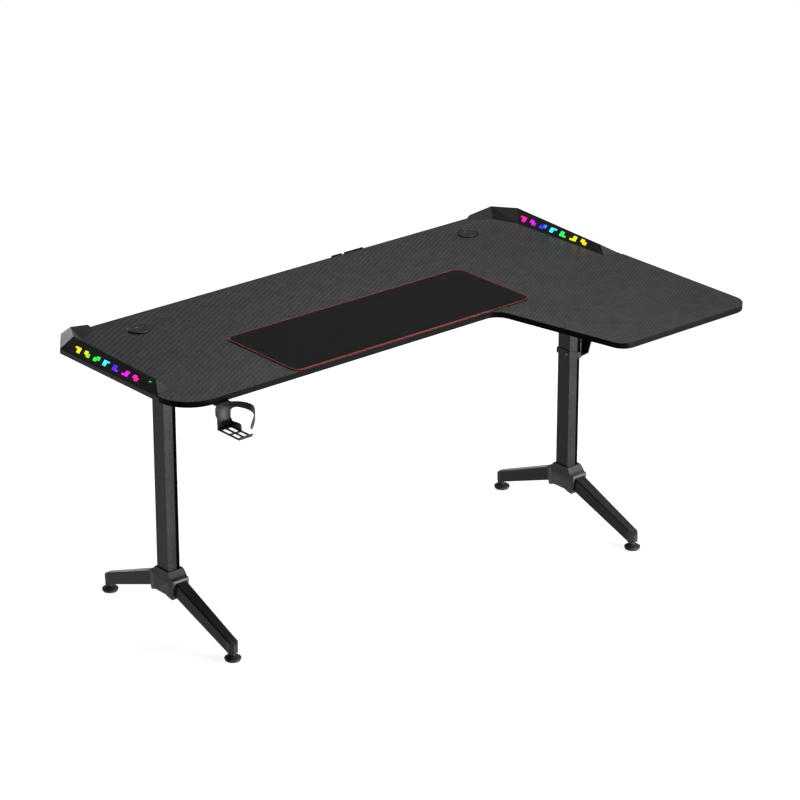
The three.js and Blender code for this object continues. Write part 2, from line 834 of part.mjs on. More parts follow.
function headphoneHook() {
  const side = [
    [0, 0],
    [32, 4],
    [48, 50],
    [44.9, 50.8],
    [29.8, 6.9],
    [3, 3.4],
    [3, 46],
    [0, 46],
  ];
  const gusset = [
    [0, 0],
    [32, 4],
    [46, 44],
    [0, 40],
  ];
  const pieces = [[side, hookY[1] - hookY[0]], [gusset, 3]].map(([outline, width]) => {
    const g = extrude(shapeOf(outline), width).rotateX(Math.PI / 2);
    return solid(g.translate(hookX, hookY[1], bandNear[0]));
  });
  return join(...pieces);
}

function clampScrew() {
  const { y, z } = clampScrewAt;
  const from = (x) => [rightLeg.x - x, y, z];
  return join(rodBetween(from(20.5), from(25), 2.5), rodBetween(from(23.2), from(26.2), 4.5));
}
place("hook_clamp", clampBand(), blackSteel);
place("headphone_hook", headphoneHook(), blackPlastic);
place("clamp_screw", clampScrew(), zinc);

// ---- cable tray and light controller, under the back edge ----
const trayX = [965, 1078];

function cableTray() {
  const low = topHeight - 76;
  const back = trayStandsOut;
  const side = [
    [-90, undersideZ],
    [-90, low],
    [back, low],
    [back, topHeight + 3.5],
    [gap, topHeight + 3.5],
    [gap, low + 2.5],
    [-87.5, low + 2.5],
    [-87.5, undersideZ],
  ];
  const notch = box(1002, 1010, -9, 9, undersideZ + 12, topHeight + 20);
  return cut(prismX(side, ...trayX), notch);
}
place("cable_tray", cableTray(), blackSteel);

const boxAt = { x0: 850, x1: 940, y0: -110, y1: -50, z0: undersideZ - 24, z1: undersideZ };

function controlBase() {
  const { x0, x1, y0, y1, z0, z1 } = boxAt;
  const shell = box(x0, x1, y0, y1, z0 + 2, z1);
  const inlet = rodBetween([x0 - 9, (y0 + y1) / 2, z0 + 12], [x0 + 9, (y0 + y1) / 2, z0 + 12], 5 + gap);
  return cut(shell, box(x0 + 2, x1 - 2, y0 + 2, y1 - 2, z0, z1 - 2), inlet);
}

function controlInlet() {
  const { x0, y0, y1, z0 } = boxAt;
  const y = (y0 + y1) / 2;
  const z = z0 + 12;
  const body = rodBetween([x0 - 1.5, y, z], [x0 + 10, y, z], 5);
  return cut(body, rodBetween([x0 - 9, y, z], [x0 + 7, y, z], 3.2));
}

function controlBoard() {
  const { x0, x1, y0, y1, z1 } = boxAt;
  return box(x0 + 14, x1 - 4, y0 + 5, y1 - 5, z1 - 8, z1 - 6.4);
}

function controlLid() {
  const { x0, x1, y0, y1, z0 } = boxAt;
  const rim = cut(
    box(x0 + 2 + gap, x1 - 2 - gap, y0 + 2 + gap, y1 - 2 - gap, z0 + 2, z0 + 4),
    box(x0 + 4, x1 - 4, y0 + 4, y1 - 4, z0 + 1, z0 + 9),
  );
  return join(box(x0, x1, y0, y1, z0, z0 + 2), rim);
}
place("control_box_base", controlBase(), blackPlastic);
place("control_box_lid", controlLid(), blackPlastic);
place("control_board", controlBoard(), greenBoard);
place("control_inlet", controlInlet(), zinc);

export default part;
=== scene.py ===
# Corner gaming desk, dressed for rendering.
# Metres, +Z up, the sitter at -Y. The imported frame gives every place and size.
import bpy
import bmesh
from math import asin, ceil, cos, pi, radians, sin
from mathutils import Matrix, Vector, noise
from mathutils.bvhtree import BVHTree


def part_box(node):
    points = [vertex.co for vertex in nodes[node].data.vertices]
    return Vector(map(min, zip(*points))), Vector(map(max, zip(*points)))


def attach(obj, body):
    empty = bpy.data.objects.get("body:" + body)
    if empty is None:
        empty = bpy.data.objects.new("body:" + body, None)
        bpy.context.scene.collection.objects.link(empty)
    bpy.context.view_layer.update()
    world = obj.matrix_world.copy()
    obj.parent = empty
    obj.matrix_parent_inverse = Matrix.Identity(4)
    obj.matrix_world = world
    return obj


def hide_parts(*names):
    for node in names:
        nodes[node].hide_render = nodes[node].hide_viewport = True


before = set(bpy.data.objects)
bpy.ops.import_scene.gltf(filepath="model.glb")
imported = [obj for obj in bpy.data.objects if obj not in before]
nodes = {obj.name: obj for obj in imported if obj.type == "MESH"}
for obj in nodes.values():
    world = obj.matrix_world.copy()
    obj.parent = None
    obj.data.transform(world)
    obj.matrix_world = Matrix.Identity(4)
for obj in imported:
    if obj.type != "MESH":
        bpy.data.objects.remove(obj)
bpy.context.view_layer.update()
mm = 0.001
up = Vector((0, 0, 1))
print("frame loaded:", len(nodes), "nodes")


# Camera, floor and light.
view = {
    "place": (-5.3928, -6.3615, 4.0007),
    "tilt": 22.599,
    "heading": 40.241,
    "lens": 152.69,
}
studio = {
    "sky": 0.12,
    "floorSize": 60.0,
    "floorColor": 0.28,
    "floorGlow": 0.90,
    "farGlow": 1.02,
    "farFrom": 4.0,
    "farTo": 11.0,
    "lamps": [
        # name, place, target, width, height, watts
        ("overheadSoftbox", (1.4, 0.7, 3.7), (0.1, 0.1, 0.7), 3.0, 2.4, 145),
        ("frontLowStrip", (1.5, -3.1, 0.44), (0.45, 0.0, 0.36), 1.8, 0.8, 400),
        ("rearCard", (-0.12, 4.3, 1.35), (-0.72, 0.4, 0.77), 1.5, 1.0, 26),
    ],
}


def setUpCamera():
    camera = bpy.data.objects.new("camera", bpy.data.cameras.new("camera"))
    bpy.context.scene.collection.objects.link(camera)
    camera.data.lens = view["lens"]
    camera.data.sensor_width = 36
    camera.data.clip_end = 200
    camera.location = view["place"]
    camera.rotation_euler = (radians(90 - view["tilt"]), 0, -radians(view["heading"]))
    bpy.context.scene.camera = camera


def addLamp(name, place, target, width, height, watts):
    light = bpy.data.lights.new(name, "AREA")
    light.shape = "RECTANGLE"
    light.size = width
    light.size_y = height
    light.energy = watts
    lamp = bpy.data.objects.new(name, light)
    lamp.location = place
    toTarget = Vector(target) - Vector(place)
    lamp.rotation_euler = toTarget.to_track_quat("-Z", "Y").to_euler()
    bpy.context.scene.collection.objects.link(lamp)


def setUpStudio():
    world = bpy.data.worlds.new("studio")
    bpy.context.scene.world = world
    world.use_nodes = True
    sky = world.node_tree.nodes["Background"]
    sky.inputs["Color"].default_value = (1, 1, 1, 1)
    sky.inputs["Strength"].default_value = studio["sky"]
    bpy.context.scene.view_settings.view_transform = "Standard"
    half = studio["floorSize"] / 2
    mesh = bpy.data.meshes.new("studio_floor")
    corners = [(-half, -half, 0), (half, -half, 0), (half, half, 0), (-half, half, 0)]
    mesh.from_pydata(corners, [], [(0, 1, 2, 3)])
    floorPlane = bpy.data.objects.new("studio_floor", mesh)
    bpy.context.scene.collection.objects.link(floorPlane)
    paper = bpy.data.materials.new("paleFloor")
    paper.use_nodes = True
    shader = paper.node_tree.nodes["Principled BSDF"]
    pale = studio["floorColor"]
    shader.inputs["Base Color"].default_value = (pale, pale, pale, 1)
    shader.inputs["Roughness"].default_value = 1.0
    shader.inputs["Specular IOR Level"].default_value = 0.0
    shader.inputs["Emission Color"].default_value = (1, 1, 1, 1)
    # the paper brightens away from the desk
    tree = paper.node_tree
    place = tree.nodes.new("ShaderNodeTexCoord")
    reach = tree.nodes.new("ShaderNodeVectorMath")
    reach.operation = "LENGTH"
    glow = tree.nodes.new("ShaderNodeMapRange")
    glow.inputs["From Min"].default_value = studio["farFrom"]
    glow.inputs["From Max"].default_value = studio["farTo"]
    glow.inputs["To Min"].default_value = studio["floorGlow"]
    glow.inputs["To Max"].default_value = studio["farGlow"]
    tree.links.new(place.outputs["Object"], reach.inputs[0])
    tree.links.new(reach.outputs["Value"], glow.inputs["Value"])
    tree.links.new(glow.outputs[0], shader.inputs["Emission Strength"])
    mesh.materials.append(paper)
    for lamp in studio["lamps"]:
        addLamp(*lamp)


setUpCamera()
setUpStudio()
print("camera and studio set")


# Node wiring.
def put(tree, kind, inputs=None, **settings):
    node = tree.nodes.new(kind)
    for name, value in settings.items():
        setattr(node, name, value)
    for key, value in (inputs or {}).items():
        if isinstance(value, bpy.types.NodeSocket):
            tree.links.new(value, node.inputs[key])
        else:
            node.inputs[key].default_value = value
    return node


def calc(tree, operation, a, b=0.0, c=0.0):
    return put(tree, "ShaderNodeMath", {0: a, 1: b, 2: c}, operation=operation).outputs[0]


def objectPlace(tree):
    return put(tree, "ShaderNodeTexCoord").outputs["Object"]


def axesOf(tree, vector):
    return put(tree, "ShaderNodeSeparateXYZ", {"Vector": vector}).outputs


def worldNormal(tree):
    return axesOf(tree, put(tree, "ShaderNodeNewGeometry").outputs["Normal"])


def grain(tree, place, scale, detail=3.0, rough=0.55):
    inputs = {"Vector": place, "Scale": scale, "Detail": detail, "Roughness": rough}
    return put(tree, "ShaderNodeTexNoise", inputs).outputs["Fac"]


def spread(tree, value, low, high, toLow, toHigh):
    inputs = {"Value": value, "From Min": low, "From Max": high, "To Min": toLow, "To Max": toHigh}
    return put(tree, "ShaderNodeMapRange", inputs).outputs[0]


def tint(tree, share, first, second):
    node = put(tree, "ShaderNodeMix", data_type="RGBA")
    for slot, value in ((0, share), (6, first), (7, second)):
        if isinstance(value, bpy.types.NodeSocket):
            tree.links.new(value, node.inputs[slot])
        else:
            node.inputs[slot].default_value = value
    return node.outputs[2]


def bumped(tree, height, distance, strength=1.0, after=None):
    inputs = {"Height": height, "Distance": distance, "Strength": strength}
    if after is not None:
        inputs["Normal"] = after
    return put(tree, "ShaderNodeBump", inputs).outputs[0]


def gray(level):
    return (level, level, level, 1)


def newFinish(name, **sockets):
    material = bpy.data.materials.new(name)
    material.use_nodes = True
    tree = material.node_tree
    shader = tree.nodes["Principled BSDF"]
    for socket, value in sockets.items():
        shader.inputs[socket.replace("_", " ")].default_value = value
    return material, tree, shader


def feed(tree, shader, **sockets):
    for socket, value in sockets.items():
        tree.links.new(value, shader.inputs[socket.replace("_", " ")])


def edgeWearAndHighlight(tree, low=0.52, high=0.62):
    # the sharp convex edges, from pointiness: worn paint on the powder coat, a painted highlight
    # on the plastics and the casting
    sharp = put(tree, "ShaderNodeNewGeometry").outputs["Pointiness"]
    return spread(tree, sharp, low, high, 0.0, 1.0)


# Finishes.
film = {
    "lean": 31.0,  # the stripes run this far round from +X
    "perMetre": 87.3,  # stripes across one metre, at the middle
    "tighten": -17.4,
    "strand": 0.0016,  # metres between the strands that cross a stripe
    "dark": 0.0060,
    "light": 0.0330,
    "band": 0.0012,
}


def boardFilm():
    # twill-printed film on top and below, a smooth band round the edge
    material, tree, shader = newFinish("boardFilm")
    place = objectPlace(tree)
    lean = {"Vector": place, "Rotation": (0, 0, -radians(film["lean"]))}
    axes = axesOf(tree, put(tree, "ShaderNodeMapping", lean).outputs[0])
    along = axes["X"]
    across = axes["Y"]
    rate = calc(tree, "MULTIPLY_ADD", across, film["tighten"], film["perMetre"])
    turns = calc(tree, "MULTIPLY", across, rate)
    wander = calc(tree, "MULTIPLY", grain(tree, place, 60.0, 2.0), 0.5)
    phase = calc(tree, "MULTIPLY", calc(tree, "ADD", turns, wander), 2 * pi)
    stripe = spread(tree, calc(tree, "SINE", phase), -1.0, 1.0, 0.0, 1.0)
    strandPhase = calc(tree, "ADD", calc(tree, "MULTIPLY", along, 2 * pi / film["strand"]), phase)
    strand = spread(tree, calc(tree, "SINE", strandPhase), -1.0, 1.0, 0.0, 1.0)
    cloud = grain(tree, place, 7.0, 3.0)
    weave = calc(tree, "MULTIPLY_ADD", strand, 0.18, stripe)
    cloudShare = calc(tree, "MULTIPLY", cloud, 0.3)
    tone = calc(tree, "MULTIPLY_ADD", weave, 0.75, cloudShare)
    flat = spread(tree, calc(tree, "ABSOLUTE", worldNormal(tree)["Z"]), 0.6, 0.9, 0.0, 1.0)
    printed = tint(tree, tone, gray(film["dark"]), gray(film["light"]))
    color = tint(tree, flat, gray(film["band"]), printed)
    rough = spread(tree, grain(tree, place, 30.0, 4.0), 0.3, 0.7, 0.33, 0.43)
    shine = spread(tree, flat, 0.0, 1.0, 0.02, 0.27)
    relief = bumped(tree, calc(tree, "MULTIPLY", weave, flat), 0.00014, 0.5)
    pores = bumped(tree, grain(tree, place, 900.0, 2.0), 0.00004, 0.5, relief)
    feed(tree, shader, Base_Color=color, Roughness=rough, Specular_IOR_Level=shine, Normal=pores)
    return material


def matCloth():
    # fine plain weave with a soft nap
    material, tree, shader = newFinish("matCloth", Specular_IOR_Level=0.06)
    shader.inputs["Sheen Weight"].default_value = 0.02
    shader.inputs["Sheen Roughness"].default_value = 0.45
    place = objectPlace(tree)
    axes = axesOf(tree, place)
    threadGap = 0.0009
    warp = calc(tree, "SINE", calc(tree, "MULTIPLY", axes["X"], 2 * pi / threadGap))
    weft = calc(tree, "SINE", calc(tree, "MULTIPLY", axes["Y"], 2 * pi / threadGap))
    weave = calc(tree, "MULTIPLY", warp, weft)
    nap = grain(tree, place, 420.0, 4.0, 0.7)
    smudge = grain(tree, place, 5.0, 3.0)
    fuzz = calc(tree, "MULTIPLY_ADD", smudge, 0.6, nap)
    tone = calc(tree, "MULTIPLY_ADD", weave, 0.12, fuzz)
    color = tint(tree, spread(tree, tone, 0.4, 1.3, 0.0, 1.0), gray(0.0048), gray(0.0094))
    rough = spread(tree, nap, 0.3, 0.7, 0.78, 0.92)
    relief = bumped(tree, calc(tree, "MULTIPLY_ADD", nap, 0.8, weave), 0.00012, 0.5)
    feed(tree, shader, Base_Color=color, Roughness=rough, Normal=relief)
    return material


def matThread():
    material, tree, shader = newFinish("matThread", Specular_IOR_Level=0.25)
    shader.inputs["Sheen Weight"].default_value = 0.25
    place = objectPlace(tree)
    lint = grain(tree, place, 700.0, 3.0)
    color = tint(tree, lint, (0.12, 0.003, 0.003, 1), (0.32, 0.010, 0.012, 1))
    rough = spread(tree, lint, 0.3, 0.7, 0.6, 0.8)
    feed(tree, shader, Base_Color=color, Roughness=rough, Normal=bumped(tree, lint, 0.0002, 0.6))
    return material


def mouldedPlastic(name, dark, light, specular, texture, roughLow, roughHigh):
    # spark-eroded texture, with a painted highlight on the sharp edges, broken into patches
    material, tree, shader = newFinish(name, Specular_IOR_Level=specular)
    place = objectPlace(tree)
    skin = grain(tree, place, texture, 3.0, 0.6)
    smear = grain(tree, place, 14.0, 4.0)
    body = tint(tree, smear, gray(dark), gray(light))
    # painted highlight: patches of the sharp edges are lightened to light * 2.2
    wearAndHighlight = calc(tree, "MULTIPLY", edgeWearAndHighlight(tree), grain(tree, place, 90.0))
    color = tint(tree, wearAndHighlight, body, gray(light * 2.2))
    rough = spread(tree, smear, 0.3, 0.7, roughLow, roughHigh)
    feed(tree, shader, Base_Color=color, Roughness=rough, Normal=bumped(tree, skin, 0.00008, 0.55))
    return material


def powderCoat(name, dark, light, specular, blackChamfer=False):
    # orange-peel powder coat with faint handling marks; on request the chamfer that faces
    # front-right is made near-black, matt and without shine
    material, tree, shader = newFinish(name, Specular_IOR_Level=specular)
    place = objectPlace(tree)
    peel = grain(tree, place, 260.0, 2.0, 0.5)
    speck = grain(tree, place, 1500.0, 1.0)
    haze = grain(tree, place, 9.0, 4.0)
    body = tint(tree, haze, gray(dark), gray(light))
    # handling wear on the sharp edges of the powder coat
    wearAndHighlight = calc(tree, "MULTIPLY", edgeWearAndHighlight(tree), grain(tree, place, 120.0))
    color = tint(tree, wearAndHighlight, body, gray(0.03))
    rough = spread(tree, haze, 0.3, 0.7, 0.25, 0.35)
    if blackChamfer:
        # the chamfer facing front-right, picked by its normal, turns near-black and matt
        normal = worldNormal(tree)
        toRight = spread(tree, normal["X"], 0.15, 0.25, 0.0, 1.0)
        toFront = spread(tree, normal["Y"], -0.6, -0.4, 1.0, 0.0)
        chamferShare = calc(tree, "MULTIPLY", toRight, toFront)
        color = tint(tree, chamferShare, color, gray(0.001))
        rough = spread(tree, chamferShare, 0.0, 1.0, rough, 0.9)
        shine = spread(tree, chamferShare, 0.0, 1.0, specular, 0.0)
        feed(tree, shader, Specular_IOR_Level=shine)
    relief = bumped(tree, peel, 0.00014, 0.5)
    fine = bumped(tree, speck, 0.00003, 0.5, relief)
    feed(tree, shader, Base_Color=color, Roughness=rough, Normal=fine)
    return material


def castMetal():
    # painted die casting, its skin coarser than the steel's
    material, tree, shader = newFinish("castMetal", Specular_IOR_Level=0.2)
    place = objectPlace(tree)
    skin = grain(tree, place, 180.0, 5.0, 0.7)
    haze = grain(tree, place, 16.0, 4.0)
    body = tint(tree, haze, gray(0.009), gray(0.017))
    # painted highlight: the sharp edges are lightened to 0.045
    color = tint(tree, edgeWearAndHighlight(tree, 0.51, 0.58), body, gray(0.045))
    rough = spread(tree, haze, 0.3, 0.7, 0.46, 0.6)
    feed(tree, shader, Base_Color=color, Roughness=rough, Normal=bumped(tree, skin, 0.0003, 0.5))
    return material


def bareMetal(name, tone, roughLow, roughHigh):
    material, tree, shader = newFinish(name, Metallic=0.92)
    place = objectPlace(tree)
    brushed = put(tree, "ShaderNodeMapping", {"Vector": place, "Scale": (60, 60, 900)}).outputs[0]
    lines = grain(tree, brushed, 6.0, 2.0)
    stain = grain(tree, place, 70.0, 4.0)
    color = tint(tree, stain, gray(tone * 0.65), gray(tone))
    rough = spread(tree, lines, 0.3, 0.7, roughLow, roughHigh)
    feed(tree, shader, Base_Color=color, Roughness=rough, Normal=bumped(tree, lines, 0.00003, 0.4))
    return material


def footRubber():
    material, tree, shader = newFinish("footRubber", Specular_IOR_Level=0.3)
    place = objectPlace(tree)
    pores = grain(tree, place, 500.0, 4.0, 0.7)
    lowPatches = grain(tree, place, 40.0, 4.0)
    # lighter in patches over its lowest 6 mm
    low = spread(tree, axesOf(tree, place)["Z"], 0.0, 0.006, 1.0, 0.0)
    color = tint(tree, calc(tree, "MULTIPLY", low, lowPatches), gray(0.008), gray(0.04))
    rough = spread(tree, pores, 0.3, 0.7, 0.55, 0.75)
    feed(tree, shader, Base_Color=color, Roughness=rough, Normal=bumped(tree, pores, 0.0001, 0.5))
    return material


# Colours of one module from the rear to the front: share of the way, then red, green, blue.
rearToFront = {
    "left": [
        (0.00, (0.90, 0.66, 0.01)),
        (0.14, (0.85, 0.80, 0.01)),
        (0.24, (0.10, 0.85, 0.02)),
        (0.36, (0.01, 0.88, 0.04)),
        (0.47, (0.05, 0.98, 0.95)),
        (0.62, (0.01, 0.02, 1.00)),
        (0.80, (0.90, 0.01, 0.98)),
        (1.00, (1.00, 0.01, 0.20)),
    ],
    "right": [
        (0.00, (0.95, 0.01, 0.14)),
        (0.14, (0.90, 0.01, 0.80)),
        (0.24, (0.30, 0.01, 0.90)),
        (0.34, (0.01, 0.02, 1.00)),
        (0.50, (0.05, 0.95, 0.98)),
        (0.65, (0.01, 0.88, 0.03)),
        (0.82, (0.80, 0.88, 0.01)),
        (1.00, (0.85, 0.50, 0.01)),
    ],
}


def litAcrylic(side, rearY, frontY):
    # milky acrylic that glows in the colours of the lamps behind it
    material, tree, shader = newFinish("litAcrylic" + side.capitalize(), Roughness=0.35)
    place = objectPlace(tree)
    share = spread(tree, axesOf(tree, place)["Y"], rearY, frontY, 0.0, 1.0)
    ramp = put(tree, "ShaderNodeValToRGB", {"Fac": share})
    stops = ramp.color_ramp.elements
    for i, (at, color) in enumerate(rearToFront[side]):
        stop = stops[i] if i < 2 else stops.new(at)
        stop.position = at
        stop.color = (*color, 1)
    cloud = spread(tree, grain(tree, place, 160.0, 3.0), 0.3, 0.7, 0.7, 1.0)
    glow = tint(tree, cloud, (0, 0, 0, 1), ramp.outputs["Color"])
    milky = tint(tree, 0.88, glow, gray(0.01))
    feed(tree, shader, Emission_Color=glow, Base_Color=milky)
    shader.inputs["Specular IOR Level"].default_value = 0.1
    shader.inputs["Emission Strength"].default_value = 1.7
    return material


def litKey():
    material, tree, shader = newFinish("litKey", Roughness=0.4)
    place = objectPlace(tree)
    cloud = grain(tree, place, 900.0, 3.0)
    glow = tint(tree, cloud, (0.01, 0.5, 0.02, 1), (0.02, 0.95, 0.06, 1))
    feed(tree, shader, Emission_Color=glow, Base_Color=glow)
    shader.inputs["Emission Strength"].default_value = 0.9
    return material


def circuitBoard():
    material, tree, shader = newFinish("circuitBoard", Specular_IOR_Level=0.5)
    place = objectPlace(tree)
    lanes = calc(tree, "PINGPONG", calc(tree, "MULTIPLY", axesOf(tree, place)["Z"], 900.0), 1.0)
    lane = spread(tree, lanes, 0.55, 0.62, 0.0, 1.0)
    fibre = grain(tree, place, 800.0, 2.0)
    color = tint(tree, lane, (0.008, 0.07, 0.022, 1), (0.02, 0.16, 0.05, 1))
    rough = spread(tree, fibre, 0.3, 0.7, 0.3, 0.45)
    feed(tree, shader, Base_Color=color, Roughness=rough, Normal=bumped(tree, lane, 0.00006, 0.6))
    return material


finish = {
    "board_film": boardFilm(),
    "mat_cloth": matCloth(),
    "thread": matThread(),
    "grey_plastic": mouldedPlastic("greyPlastic", 0.009, 0.016, 0.26, 520.0, 0.34, 0.46),
    "black_plastic": mouldedPlastic("blackPlastic", 0.005, 0.010, 0.22, 600.0, 0.36, 0.5),
    "cover_plastic": mouldedPlastic("coverPlastic", 0.015, 0.023, 0.05, 420.0, 0.26, 0.34),
    "black_steel": powderCoat("blackPowderCoat", 0.006, 0.011, 0.09),
    "column_steel": powderCoat("columnPowderCoat", 0.006, 0.011, 0.09, True),
    "hub_casting": castMetal(),
    "foot_rubber": footRubber(),
    "zinc": bareMetal("zincPlate", 0.62, 0.25, 0.42),
    "dark_zinc": bareMetal("blackZinc", 0.09, 0.3, 0.48),
    "green_board": circuitBoard(),
    "green_key": litKey(),
}
print("finishes made:", len(finish))


# Mesh helpers.
def pieceOf(name, heap, material, body="frame", replaces=(), crease=35):
    mesh = bpy.data.meshes.new(name)
    mesh.from_pydata([tuple(p) for p in heap.points], [], heap.faces)
    mesh.validate()
    shaped = bmesh.new()
    shaped.from_mesh(mesh)
    bmesh.ops.recalc_face_normals(shaped, faces=shaped.faces)
    shaped.to_mesh(mesh)
    shaped.free()
    mesh.shade_smooth()
    mesh.set_sharp_from_angle(angle=radians(crease))
    mesh.materials.append(material)
    piece = bpy.data.objects.new(name, mesh)
    bpy.context.scene.collection.objects.link(piece)
    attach(piece, body)
    if replaces:
        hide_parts(*replaces)
    return piece


def loftFaces(rings, around, first=0, capped=True):
    # quads between rings of the same count, with a cap on each end
    faces = []
    for r in range(rings - 1):
        for k in range(around):
            here = first + r * around + k
            beside = first + r * around + (k + 1) % around
            faces.append((here, beside, beside + around, here + around))
    if capped:
        last = first + (rings - 1) * around
        faces.append(tuple(first + k for k in reversed(range(around))))
        faces.append(tuple(last + k for k in range(around)))
    return faces


class Heap:
    # gathers many small solids into one piece
    def __init__(self):
        self.points = []
        self.faces = []

    def loft(self, rings, capped=True):
        first = len(self.points)
        around = len(rings[0])
        for ring in rings:
            self.points.extend(ring)
        self.faces.extend(loftFaces(len(rings), around, first, capped))

    def ringLoft(self, rings):
        # closed both ways, such as a turned ring
        first = len(self.points)
        around = len(rings[0])
        for ring in rings:
            self.points.extend(ring)
        self.faces.extend(loftFaces(len(rings), around, first, False))
        last = first + (len(rings) - 1) * around
        for k in range(around):
            beside = (k + 1) % around
            self.faces.append((last + k, last + beside, first + beside, first + k))


def circle(radius, z, segments):
    turns = [2 * pi * k / segments for k in range(segments)]
    return [Vector((radius * cos(turn), radius * sin(turn), z)) for turn in turns]


def hexRing(apothem, z, segments, limit=None):
    ring = []
    for k in range(segments):
        angle = 2 * pi * k / segments
        radius = apothem / cos((angle + pi / 6) % (pi / 3) - pi / 6)
        if limit:
            radius = min(radius, limit)
        ring.append(Vector((radius * cos(angle), radius * sin(angle), z)))
    return ring


def threadRing(radius, depth, pitch, z, segments):
    ring = []
    for k in range(segments):
        turn = (z / pitch - k / segments) % 1.0
        here = radius - depth * abs(2 * turn - 1)
        angle = 2 * pi * k / segments
        ring.append(Vector((here * cos(angle), here * sin(angle), z)))
    return ring


def threadRings(radius, z0, z1, pitch, segments):
    rows = ceil((z1 - z0) / (pitch / 4))
    depth = 0.48 * pitch
    heights = [z0 + (z1 - z0) * i / rows for i in range(rows + 1)]
    return [threadRing(radius, depth, pitch, z, segments) for z in heights]


def starRing(inner, outer, z, points, segments):
    # a cross or star recess outline, from its narrow to its wide places
    ring = []
    for k in range(segments):
        angle = 2 * pi * k / segments
        share = max(0.0, cos(points * angle)) ** 3
        radius = inner + (outer - inner) * share
        ring.append(Vector((radius * cos(angle), radius * sin(angle), z)))
    return ring


def moved(rings, matrix):
    return [[matrix @ p for p in ring] for ring in rings]


def aimed(place, direction):
    # a frame whose Z runs along direction
    turn = Vector(direction).to_track_quat("Z", "Y").to_matrix().to_4x4()
    return Matrix.Translation(Vector(place)) @ turn


def middle(name):
    low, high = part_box(name)
    return (low + high) / 2


def soften(name, width, segments=2, angle=28, flatten=True):
    # rounds the edges of a node from the frame
    node = nodes[name]
    weld = node.modifiers.new("join corners", "WELD")
    weld.merge_threshold = 0.00002
    if flatten:
        merge = node.modifiers.new("flat faces", "DECIMATE")
        merge.decimate_type = "DISSOLVE"
        merge.angle_limit = radians(0.6)
    bevel = node.modifiers.new("rounded edges", "BEVEL")
    bevel.width = width
    bevel.segments = segments
    bevel.limit_method = "ANGLE"
    bevel.angle_limit = radians(angle)
    bevel.harden_normals = False
    bevel.use_clamp_overlap = True
    tidy = node.modifiers.new("even shading", "WEIGHTED_NORMAL")
    tidy.keep_sharp = True
    tidy.weight = 60


def dress(name, material):
    node = nodes[name]
    for slot in node.material_slots:
        slot.material = material


# Board.
board = {"round": 1.6 * mm}


def dressBoard():
    dress("desktop", finish["board_film"])
    soften("desktop", board["round"], 3)


dressBoard()
print("board dressed")


# Desk mat.
mat = {
    "cornerRadius": 26 * mm,
    "cornerSteps": 12,
    "clear": 0.05 * mm,
    "stitchPitch": 2.1 * mm,
    "stitchRadius": 0.82 * mm,
    "stitchReach": 3.6 * mm,
    "stitchSides": 5,
    "topDown": 0.7 * mm,  # how far the cloth's top lies under the top of the CAD mat
    "lieInsets": (12 * mm, 30 * mm, 60 * mm, 90 * mm, 120 * mm, 138 * mm),
    "lieRise": 0.35 * mm,
}


def matOutline(inset, z):
    low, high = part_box("desk_mat")
    radius = max(mat["cornerRadius"] - inset, 1 * mm)
    ring = []
    corners = [
        (low.x + inset, low.y + inset, pi),
        (high.x - inset, low.y + inset, 1.5 * pi),
        (high.x - inset, high.y - inset, 0),
        (low.x + inset, high.y - inset, 0.5 * pi),
    ]
    for x, y, start in corners:
        towardX = 1 if x < middle("desk_mat").x else -1
        towardY = 1 if y < middle("desk_mat").y else -1
        centre = Vector((x + towardX * radius, y + towardY * radius, z))
        for k in range(mat["cornerSteps"] + 1):
            angle = start + 0.5 * pi * k / mat["cornerSteps"]
            ring.append(centre + radius * Vector((cos(angle), sin(angle), 0)))
    return ring


def lieOfMat(point, rise):
    # the mat never lies quite flat
    wave = noise.noise(Vector((point.x * 5, point.y * 5, 3.1)))
    return point + up * rise * (0.5 + 0.5 * wave)


def evenly(ring, pitch):
    # places and directions along a closed line, one pitch apart
    closed = ring + [ring[0]]
    lengths = [(b - a).length for a, b in zip(closed, closed[1:])]
    count = round(sum(lengths) / pitch)
    step = sum(lengths) / count
    spots = []
    i = 0
    done = 0.0
    for k in range(count):
        want = k * step
        while done + lengths[i] < want:
            done += lengths[i]
            i += 1
        along = (closed[i + 1] - closed[i]).normalized()
        spots.append((closed[i] + along * (want - done), along))
    return spots


def makeMat():
    low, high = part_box("desk_mat")
    base = low.z + mat["clear"]
    top = high.z - mat["topDown"]
    rings = [
        matOutline(1.0 * mm, base),
        matOutline(0.5 * mm, base + 0.3 * mm),
        matOutline(0.5 * mm, top - 0.5 * mm),
        matOutline(1.0 * mm, top),
        matOutline(4.0 * mm, top),
    ]
    for inset in mat["lieInsets"]:
        rings.append([lieOfMat(p, mat["lieRise"]) for p in matOutline(inset, top)])
    heap = Heap()
    heap.loft(rings)
    cloth = pieceOf(
        "mat_cloth", heap, finish["mat_cloth"], replaces=["desk_mat"], crease=60
    )
    thread = makeStitching(top)


def makeStitching(top):
    # overlock stitches that lean forward over the edge
    stitches = Heap()
    for spot, along in evenly(matOutline(0.9 * mm, top), mat["stitchPitch"]):
        inward = up.cross(along).normalized()
        reach = mat["stitchReach"]
        path = [
            spot - inward * 0.35 * mm - up * 1.3 * mm,
            spot - inward * 0.35 * mm - up * 0.4 * mm,
            spot + inward * 0.5 * mm + up * 0.35 * mm + along * 0.3 * mm,
            spot + inward * reach * 0.6 + up * 0.3 * mm + along * 0.9 * mm,
            spot + inward * reach + along * 1.3 * mm - up * 0.3 * mm,
        ]
        rings = []
        for i, p in enumerate(path):
            ahead = path[min(i + 1, len(path) - 1)] - path[max(i - 1, 0)]
            frameHere = aimed(p, ahead)
            thick = mat["stitchRadius"] * (0.7 if i in (0, len(path) - 1) else 1.0)
            rings.append([frameHere @ q for q in circle(thick, 0, mat["stitchSides"])])
        stitches.loft(rings)
    return pieceOf("mat_edge_stitching", stitches, finish["thread"], crease=80)


makeMat()
print("mat laid and stitched")


